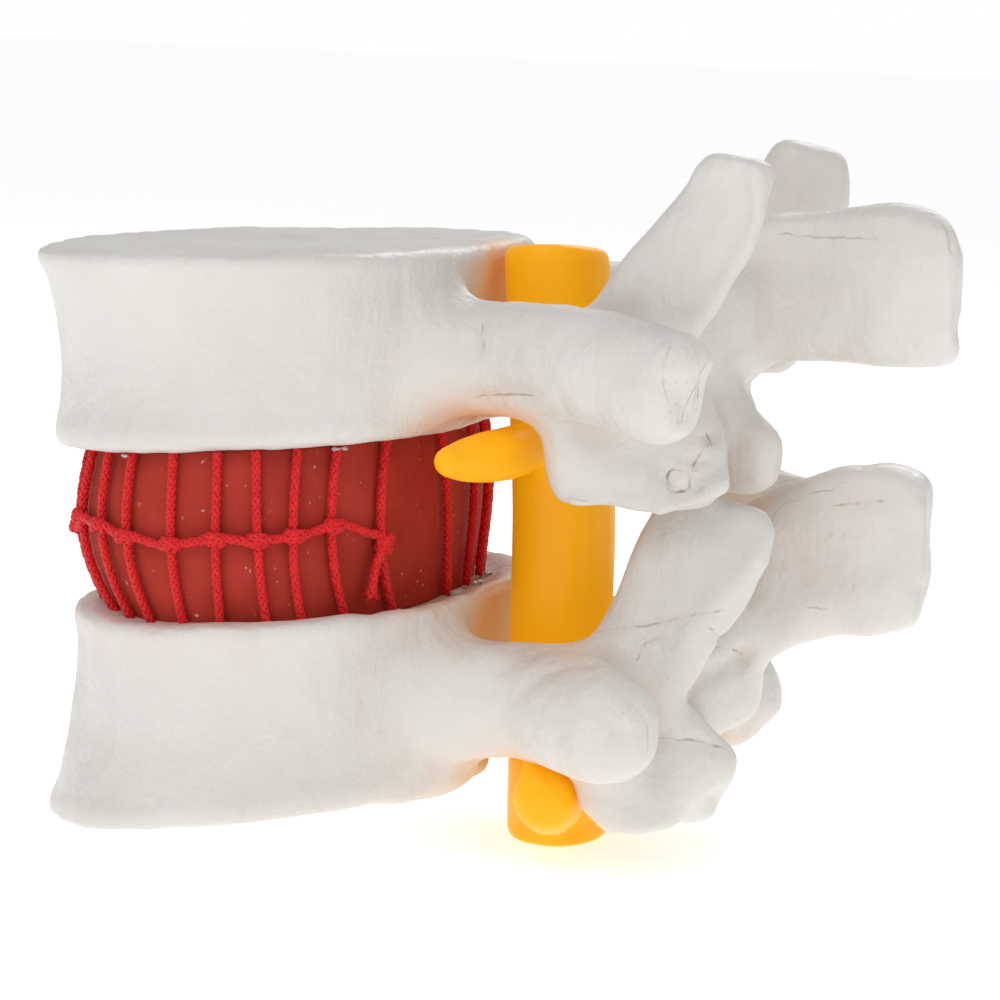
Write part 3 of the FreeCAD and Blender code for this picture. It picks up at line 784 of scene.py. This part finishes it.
def makeVertebra(name, shape):
    clay = Clay(shape["node"], boneShape["voxel"])
    clay.fillCreases(boneShape["archCrease"])
    body = Clay(shape["node"], boneShape["voxel"])
    body.fillCreases(boneShape["bodyCrease"])
    x, y, z = grid = clay.uprightGrid()
    arch = smoothStep(*boneShape["archFrom"], x)
    crisp = clay.fitted(body) * (1 - arch) + clay.field * arch
    clay.field = crisp
    clay.blur(boneShape["edgeRadius"])
    broad = blurred(crisp, [boneShape["wallRadius"] / clay.voxel] * 3)
    wall = wallShare(x, z, shape["plates"])
    clay.field = clay.field * (1 - wall) + broad * wall
    clay.roughen(boneShape["unevenness"], boneShape["unevenSpread"], shape["seed"])
    clay.roughen(boneShape["lumps"], boneShape["lumpSpread"], shape["seed"] + 2, arch)
    clay.roughen(boneShape["handStrokes"], boneShape["strokeSpread"], shape["seed"] + 1)
    clay.dent(grid, shape["marks"], boneShape["markDepth"])
    points, quads = clay.skin()
    # painted shade, partly real grime: the share of solid round each point marks the recesses to darken
    solid = blurred((clay.field < 0).astype(np.float32), [boneShape["hollowGrimeShadeSpread"]] * 3)
    hollowGrimeShade = (clay.sample(points, solid) - boneShape["hollowGrimeShadeFrom"]) * boneShape["hollowGrimeShadeGain"]
    nearSac = np.maximum(sacClay.sample(points, sacClay.field), 0)
    upright = inUpright(points)
    rise = shape["frontRise"] * smoothStep(*boneShape["riseFront"], upright[:, 0])
    rise = rise * smoothStep(*boneShape["riseHeight"], upright[:, 2])
    points = points + np.outer(rise * mm, [0.0, 0.0, 1.0])
    piece = makeObject(name, points, quads)
    seam, seamStrength = seamFields(piece, points, shape["seams"])
    skinValues = {
        "recessGrimeShade": np.clip(hollowGrimeShade, 0, 1),
        "seam": seam,
        "seamStrength": seamStrength,
        "glow": np.exp(-nearSac / boneShape["glowReach"]),
        "stain": spots(upright, shape["stains"]),
        "blush": spots(upright, shape["blushes"]),
    }
    for label, values in skinValues.items():
        layer = piece.data.attributes.new(label, "FLOAT", "POINT")
        layer.data.foreach_set("value", values.astype(np.float32))
    finishPiece(piece, "bone_plastic", [shape["node"]])
    print(name, len(quads), "faces")


makeVertebra("upperVertebra", upperVertebra)
makeVertebra("lowerVertebra", lowerVertebra)
makeSac()


# Cords: each is braided from eight strands; angles go round the disc from the front by way of the near side

cordShape = {
    "diameter": 1.12,
    "strandPairs": 4,
    "lay": 3.7,             # millimetres of cord for one turn of a strand
    "strandWidth": 0.255,
    "strandHeight": 0.15,
    "strandSides": 5,
    "weaveDepth": 0.06,
    "weaveSink": 0.6,       # share of the weave that lies within the diameter
    "coreShare": 0.92,
    "coreSides": 6,
    "coreSkip": 3,
    "step": 0.19,
    "fineSteps": 24,
    "frayReach": 1.6,       # from a free end, over which the strands open
    "fraySpread": 0.55,
    "frayWiden": 0.3,
    "off": 0.80,            # from the rubber to the middle of an upright cord
    "footGap": 0.35,
    "headGap": 0.1,
    "points": 9,
    "seed": 100,
}

cordLines = [               # angle at the foot, in the middle and at the top
    (50, 42.5, 43), (59.5, 58, 56.5), (69.75, 69.6, 68.5), (82, 84.5, 83.25), (90.75, 92.4, 92),
    (100.75, 101.2, 100), (111.5, 110.8, 111.75), (127, 122.8, 124.75), (146.25, 140, 143.25),
    (174, 170, 168.5), (186, 185, 186), (201, 200.5, 199.5), (212, 212, 212), (224, 225, 225),
    (237, 238, 239), (252, 251, 250), (262, 263, 264), (276, 275, 274), (287, 287, 288), (300, 299, 298),
    (311, 312, 313), (327, 328, 329), (345, 346, 346), (9, 8, 8), (30, 28, 28),
]


def cordAngle(number, level):
    share = np.array(discShape["levels"])[::2]
    return float(np.polyval(np.polyfit(share, cordLines[number], 2), level))


# The disc follows the outline of a vertebra, carried from the seat up to the upper plate

def discLevel(level):
    return [float(np.polyval(np.polyfit(discShape["levels"], discShape[key], 4), level))
            for key in ("front", "back", "half")]


def signedPower(value, power):
    return np.sign(value) * np.abs(value) ** power


def discPoint(angle, level, away=0.0):
    front, back, half = discLevel(level)
    turn = np.radians(angle)
    roundness = np.where(np.cos(turn) > 0, discShape["frontRound"], discShape["backRound"])
    x = (front + back) / 2 - (back - front + 2 * away) / 2 * signedPower(np.cos(turn), roundness)
    y = -(half + away) * signedPower(np.sin(turn), discShape["sideRound"])
    z = level + (x - discShape["hinge"]) * math.tan(math.radians(discShape["slope"])) + 0 * y
    return np.stack([x, y, z], axis=-1)


def levelsBetween(gaps, count):     # from just over the lower plate to just under the upper one
    bottom, top = discShape["levels"][0], discShape["levels"][-1]
    return np.linspace(bottom + gaps["footGap"], top - gaps["headGap"], count)


def cordPress(angles, level):       # how deep the upright cords press into the rubber at this level
    press = 0.0
    for line in cordLines:
        away = (angles - np.interp(level, discShape["levels"][::2], line) + 180) % 360 - 180
        press = press + np.exp(-away ** 2 / discShape["pressSpread"])
    return discShape["cordPress"] * press


def makeDisc():
    around, up = discShape["around"], discShape["up"]
    angles = np.arange(around) * 360.0 / around
    rings = [discPoint(angles, level, -cordPress(angles, level)) for level in levelsBetween(discShape, up)]
    points = np.concatenate(rings + [rings[0].mean(axis=0)[None], rings[-1].mean(axis=0)[None]])
    faces = tubeFaces(up, around, 0)[:, ::-1].tolist()
    foot, lid, lastRing = up * around, up * around + 1, (up - 1) * around
    for column in range(around):
        after = (column + 1) % around
        faces.append([column, after, foot])
        faces.append([lastRing + after, lastRing + column, lid])
    finishPiece(makeObject("rubberDisc", inFrame(points), faces), "disc_rubber", ["intervertebral_disc"])
    print("rubberDisc", len(faces), "faces")


def smoothLine(points, spacing):
    points = np.array(points, float)
    padded = np.vstack([2 * points[0] - points[1], points, 2 * points[-1] - points[-2]])
    fine = []
    for index in range(1, len(padded) - 2):
        before, start, end, after = padded[index - 1:index + 3]
        t = np.linspace(0, 1, cordShape["fineSteps"], endpoint=False)[:, None]
        bend = 2 * before - 5 * start + 4 * end - after
        twist = 3 * start - before - 3 * end + after
        fine.append(0.5 * (2 * start + (end - before) * t + bend * t ** 2 + twist * t ** 3))
    fine = np.vstack(fine + [padded[-2:-1]])
    along = np.concatenate([[0], np.cumsum(np.linalg.norm(np.diff(fine, axis=0), axis=1))])
    places = np.linspace(0, along[-1], max(3, int(round(along[-1] / spacing))))
    return np.stack([np.interp(places, along, fine[:, i]) for i in range(3)], axis=1), places


def carriedFrames(line):
    tangents = unit(np.gradient(line, axis=0))
    normal = unit(np.cross(tangents[0], [0.31, 0.92, 0.23]))        # any direction that no cord starts in
    normals = []
    for tangent in tangents:
        normal = unit(normal - tangent * (normal @ tangent))
        normals.append(normal)
    normals = np.array(normals)
    return normals, np.cross(tangents, normals)


def ringTube(centres, wideAxis, thinAxis, wide, thin, sides):
    turn = 2 * math.pi * np.arange(sides) / sides
    wide = np.broadcast_to(wide, len(centres))[:, None, None]
    thin = np.broadcast_to(thin, len(centres))[:, None, None]
    return (centres[:, None] + wideAxis[:, None] * wide * np.cos(turn)[None, :, None]
            + thinAxis[:, None] * thin * np.sin(turn)[None, :, None]).reshape(-1, 3)


def joined(tubes, sides):       # one set of points and faces from tubes with their numbers of sides
    points, faces, count = [], [], 0
    for tube, around in zip(tubes, sides):
        points.append(tube)
        faces.append(tubeFaces(len(tube) // around, around, count))
        count += len(tube)
    return np.vstack(points), np.vstack(faces)


def braid(control, seed, fray=(0.0, 0.0)):
    line, along = smoothLine(control, cordShape["step"])
    normals, sides = carriedFrames(line)
    sink = cordShape["weaveDepth"] * cordShape["weaveSink"]
    radius = cordShape["diameter"] / 2 - cordShape["strandHeight"] - sink
    opening = sum(smoothStep(cordShape["frayReach"], 0.0, distance) * amount
                  for distance, amount in zip((along, along[-1] - along), fray))
    spread = 1 + cordShape["fraySpread"] * opening
    core, skip = radius * cordShape["coreShare"], cordShape["coreSkip"]
    tubes = [ringTube(line[::skip], normals[::skip], sides[::skip], core, core, cordShape["coreSides"])]
    pairs = cordShape["strandPairs"]
    turns = along / cordShape["lay"]
    phase = np.random.default_rng(seed).uniform(0, 2 * math.pi)
    for way, start in ((1, 0.0), (-1, 0.5)):
        for number in range(pairs):
            turn = phase * way + 2 * math.pi * ((number + start) / pairs + way * turns)
            weave = np.cos(math.pi * (2 * pairs * turns + number + 2 * start))
            reach = (radius + cordShape["weaveDepth"] * weave) * spread
            out = normals * np.cos(turn)[:, None] + sides * np.sin(turn)[:, None]
            strand = line + out * reach[:, None]
            heading = unit(np.gradient(strand, axis=0))
            across = unit(np.cross(heading, out))
            wide = cordShape["strandWidth"] * spread ** cordShape["frayWiden"]
            tubes.append(ringTube(strand, across, np.cross(across, heading), wide, cordShape["strandHeight"],
                                  cordShape["strandSides"]))
    points, faces = joined(tubes, [cordShape["coreSides"]] + [cordShape["strandSides"]] * 2 * pairs)
    return points, faces, line


def makeUprightCords():
    levels = levelsBetween(cordShape, cordShape["points"])
    for number in range(len(cordLines)):
        control = [discPoint(cordAngle(number, level), level, cordShape["off"]) for level in levels]
        points, faces, line = braid(control, cordShape["seed"] + number)
        piece = makeObject("uprightCord%02d" % (number + 1), inFrame(points), faces)
        finishPiece(piece, "cord_red", ["annulus_cord_%02d" % (number + 1)])
    print("uprightCords", len(cordLines), "cords,", len(faces), "faces each")


frayShape = {
    "fibres": 46,
    "back": 0.5,            # millimetres inside the end of the cord
    "spread": (0.1, 0.6),
    "splay": 0.32,
    "bend": 0.18,
    "length": (0.5, 1.35),
    "radius": 0.05,
    "sides": 3,
    "rings": 5,
}


def frayedEnd(end, heading, seed):
    rng = np.random.default_rng(seed)
    heading = unit(heading)
    sides, radius = frayShape["sides"], frayShape["radius"]
    steps = np.linspace(0, 1, frayShape["rings"])[:, None]
    root = end - heading * frayShape["back"]
    tubes = []
    for fibre in range(frayShape["fibres"]):
        start = root + unit(rng.normal(size=3)) * rng.uniform(*frayShape["spread"])
        way = unit(heading + rng.normal(size=3) * frayShape["splay"])
        bend = rng.normal(size=3) * frayShape["bend"]
        strand = start + way * steps * rng.uniform(*frayShape["length"]) + bend * steps ** 2
        tubes.append(ringTube(strand, *carriedFrames(strand), radius, radius, sides))
    return joined(tubes, [sides] * len(tubes))


tieShape = {
    "near": range(8, -1, -1),       # upright cords in the order in which the tie passes them
    "nearLevels": [-2.5, 0.25, -0.5, -0.75, -0.5, -1.0, -0.25, 0.75, 1.25],     # upright millimetres
    "far": range(24, 13, -1),
    "farLevels": (-1.1, -0.1),      # least and most
    "levelSeed": 8,
    "braidSeed": 77,
    "fraySeeds": (31, 32),
    "fraySpan": 4,                  # points over which a free end's direction is read
    "off": 0.75,                    # from the rubber, between two knots
    "slack": 0.12,
    "shortSpan": 9,                 # degrees between knots under which the cord needs no point of its own
    "longSpan": 16,                 # degrees from which it has two
    "size": 0.88,
    "readSpan": 2.0,                # degrees to both sides of a knot in which its direction is read
    "readOff": 0.95,
    "knot": [       # along the tie, outward and up, in millimetres from the middle of the upright cord
        (-1.70, 0.30, 0.10), (-0.95, 0.75, 0.35), (0.0, 0.95, 0.45), (0.80, 0.45, 0.45),
        (0.70, -0.15, -0.15), (0.0, -0.25, -0.55), (-0.85, 0.10, -0.50), (-1.10, 0.70, 0.10),
        (-0.45, 1.05, 0.10), (0.35, 0.95, -0.35), (1.15, 0.40, -0.10)],
    "endKnot": [
        (0.95, 0.60, -1.30), (0.55, 0.95, -0.55), (-0.10, 1.10, 0.25), (-0.90, 0.55, 0.75),
        (-0.75, -0.10, 0.20), (0.0, -0.25, -0.35), (0.85, 0.20, -0.55), (0.75, 0.90, 0.15),
        (0.0, 1.25, 0.55), (-0.85, 0.90, 0.30), (-1.05, 0.40, -0.45), (-0.35, 0.95, -0.95),
        (0.55, 1.10, -0.45), (0.95, 0.55, 0.40), (0.30, 0.50, 1.05), (0.95, 0.35, 1.15)],
    "tail": [(2.3, 0.1, -6.9), (2.1, 0.35, -4.9), (1.6, 0.45, -2.9)],
    "arc": [(2.9, 0.2, 1.6)],
}


def knotPoints(number, level, shape, flip=1):
    angle, size = cordAngle(number, level), tieShape["size"]
    centre = discPoint(angle, level, cordShape["off"])
    before, after = [discPoint(angle + turn, level, tieShape["readOff"])
                     for turn in (tieShape["readSpan"], -tieShape["readSpan"])]
    ahead = unit(after - before)
    outward = unit(np.array([-ahead[1], ahead[0], 0.0]))
    if outward @ (centre - [discShape["hinge"], 0, centre[2]]) < 0:
        outward = -outward
    return [centre + ahead * a * size * flip + outward * o * size + np.array([0, 0, u * size])
            for a, o, u in shape]


def spanPoints(number, level, following, nextLevel):        # the tie's points between two of its knots
    begin, end = cordAngle(number, level), cordAngle(following, nextLevel)
    if end - begin > 180:
        begin += 360
    span = abs(begin - end)
    if span <= tieShape["shortSpan"]:
        return []
    shares = (0.5,) if span < tieShape["longSpan"] else (0.36, 0.64)
    return [discPoint(begin * (1 - share) + end * share,
                      level * (1 - share) + nextLevel * share - tieShape["slack"], tieShape["off"])
            for share in shares]


def makeTieCord():
    order = [*tieShape["near"], *tieShape["far"]]
    rng = np.random.default_rng(tieShape["levelSeed"])
    low, high = tieShape["farLevels"]
    levels = tieShape["nearLevels"] + [rng.uniform(low, high) for cord in tieShape["far"]]
    tiedEnd = tieShape["tail"] + tieShape["endKnot"]
    control = knotPoints(order[0], levels[0], tiedEnd + tieShape["arc"])
    for index in range(1, len(order) - 1):
        control += knotPoints(order[index], levels[index], tieShape["knot"])
        control += spanPoints(order[index], levels[index], order[index + 1], levels[index + 1])
    control += knotPoints(order[-1], levels[-1], tiedEnd, -1)[::-1]
    points, faces, line = braid(control, tieShape["braidSeed"], (1.0, 1.0))
    span = tieShape["fraySpan"]
    for end, inside, seed in zip((line[0], line[-1]), (line[span], line[-1 - span]), tieShape["fraySeeds"]):
        fibrePoints, fibreFaces = frayedEnd(end, end - inside, seed)
        faces = np.vstack([faces, fibreFaces + len(points)])
        points = np.vstack([points, fibrePoints])
    finishPiece(makeObject("tieCord", inFrame(points), faces), "cord_red", ["tie_cord"])
    length = np.linalg.norm(np.diff(line, axis=0), axis=1).sum()
    print("tieCord", len(faces), "faces,", round(float(length)), "mm")


makeDisc()
makeUprightCords()
makeTieCord()


# Beads of glue where cords enter the plates

glueShape = {
    "beads": [      # upright cord counted from 0, level and size in millimetres
        (0, -10.9, 0.6), (1, -10.9, 0.9), (2, -10.6, 1.0), (3, -11.0, 0.6), (4, -11.0, 0.6), (6, -11.0, 0.5),
        (8, -10.9, 0.8), (9, -10.8, 1.1), (10, -10.8, 0.9), (11, -10.8, 0.8), (7, 8.9, 0.6), (2, 8.9, 0.5)],
    "lumps": 3,
    "lumpSize": (0.35, 0.6),
    "stray": 1.6,           # degrees
    "off": 1.9,
    "offStray": 0.5,
    "waviness": 0.22,
    "waves": (4, 5),
    "squash": [1.1, 1.1, 0.6],
    "seed": 3,
}


def shapeLump(fresh, size, centre, wave):
    first, second = glueShape["waves"]
    for vertex in fresh["verts"]:
        place = np.array(vertex.co)
        share = place / (size * mm)
        swell = np.sin(share @ wave[0] * first) * np.cos(share @ wave[1] * second)
        vertex.co = Vector(place * (1 + glueShape["waviness"] * float(swell)) * glueShape["squash"] + centre)


def makeGlue():
    shape = bmesh.new()
    rng = np.random.default_rng(glueShape["seed"])
    stray, offStray = glueShape["stray"], glueShape["offStray"]
    for number, level, size in glueShape["beads"]:
        for lump in range(glueShape["lumps"]):
            angle = cordAngle(number, level) + rng.uniform(-stray, stray)
            centre = discPoint(angle, level, glueShape["off"] + rng.uniform(-offStray, offStray))
            radius = size * rng.uniform(*glueShape["lumpSize"]) * mm
            fresh = bmesh.ops.create_icosphere(shape, subdivisions=3, radius=radius)
            shapeLump(fresh, size, inFrame(centre), rng.normal(size=(3, 3)))
    mesh = bpy.data.meshes.new("glueBeads")
    shape.to_mesh(mesh)
    shape.free()
    finishPiece(smoothObject("glueBeads", mesh), "bone_plastic", [], materials["glue"])
    print("glueBeads made")


makeGlue()


# Floor, lights and camera

studio = {
    "floorColour": (0.90, 0.90, 0.90),
    "floorPatches": (0.88, 0.88, 0.88),
    "floorPatchScale": 3.0,
    "floorSockets": {"Roughness": 0.8, "Emission Color": (1.0, 1.0, 1.0, 1.0), "Emission Strength": 0.55},
    "floorSize": 24.0,              # metres
    "floorDrop": 0.00002,
    "worldColour": (1.0, 1.0, 1.0),
    "worldStrength": 0.47,          # as light on the object
    "seenStrength": 1.0,            # as the background behind it
    "lampTarget": (0.0, 0.0, 0.04),
    "lamps": [                      # place and size in metres, power in watts
        ("key", (-0.16, -0.60, 0.64), 0.5, 1.85),
        ("fill", (0.6, -0.6, 0.3), 0.6, 0.45),
        ("rim", (0.1, 0.7, 0.6), 0.5, 2.4)],
}


def floorMaterial():
    material, tree, shader, where = newMaterial("paleFloor")
    patches = noise(tree, where, studio["floorPatchScale"], 3.0)
    body = ramp(tree, patches, (0.3, studio["floorPatches"]), (0.7, studio["floorColour"]))
    tree.links.new(body, shader.inputs["Base Color"])
    setSockets(shader, studio["floorSockets"])
    return material


def makeFloor():
    bpy.ops.mesh.primitive_plane_add(size=studio["floorSize"], location=(0, 0, -studio["floorDrop"]))
    floor = bpy.context.object
    floor.name = "floor"
    floor.data.materials.append(floorMaterial())


def makeLamp(name, position, size, power):
    data = bpy.data.lights.new(name, "AREA")
    data.shape = "DISK"
    data.size = size
    data.energy = power
    lamp = addToScene(name, data)
    lamp.location = position
    lamp.rotation_mode = "QUATERNION"
    lamp.rotation_quaternion = (Vector(studio["lampTarget"]) - Vector(position)).to_track_quat("-Z", "Y")


def makeLights():
    world = bpy.data.worlds.new("studio")
    world.use_nodes = True
    tree = world.node_tree
    background = tree.nodes["Background"]
    setSockets(background, {"Color": (*studio["worldColour"], 1.0)})
    seen = tree.nodes.new("ShaderNodeLightPath").outputs["Is Camera Ray"]
    gain = maths(tree, "MULTIPLY", seen, studio["seenStrength"] - studio["worldStrength"])
    tree.links.new(maths(tree, "ADD", gain, studio["worldStrength"]), background.inputs["Strength"])
    bpy.context.scene.world = world
    bpy.context.scene.view_settings.view_transform = "Standard"
    for lamp in studio["lamps"]:
        makeLamp(*lamp)


# The photograph was taken from the near side, a little from behind and from above
viewpoint = {
    "azimuth": 15.0,                        # degrees from the side view towards the back
    "pitch": 6.63,                          # degrees down
    "eye": (114.147, -426.003, 52.213),     # upright millimetres
    "lens": 133.2,                          # millimetres, for the sensor's width
    "sensor": 36.0,
    "nearest": 0.01,                        # metres
}


def makeCamera():
    data = bpy.data.cameras.new("camera")
    data.lens = viewpoint["lens"]
    data.sensor_width = viewpoint["sensor"]
    data.clip_start = viewpoint["nearest"]
    camera = addToScene("camera", data)
    turn = Matrix.Rotation(math.radians(viewpoint["azimuth"]), 4, "Z")
    nod = Matrix.Rotation(math.radians(90 - viewpoint["pitch"]), 4, "X")
    eye = Matrix.Translation(toFrame @ Vector(viewpoint["eye"]))
    camera.matrix_world = eye @ lean @ turn @ nod
    bpy.context.scene.camera = camera


makeFloor()
makeLights()
makeCamera()
print("studio made")
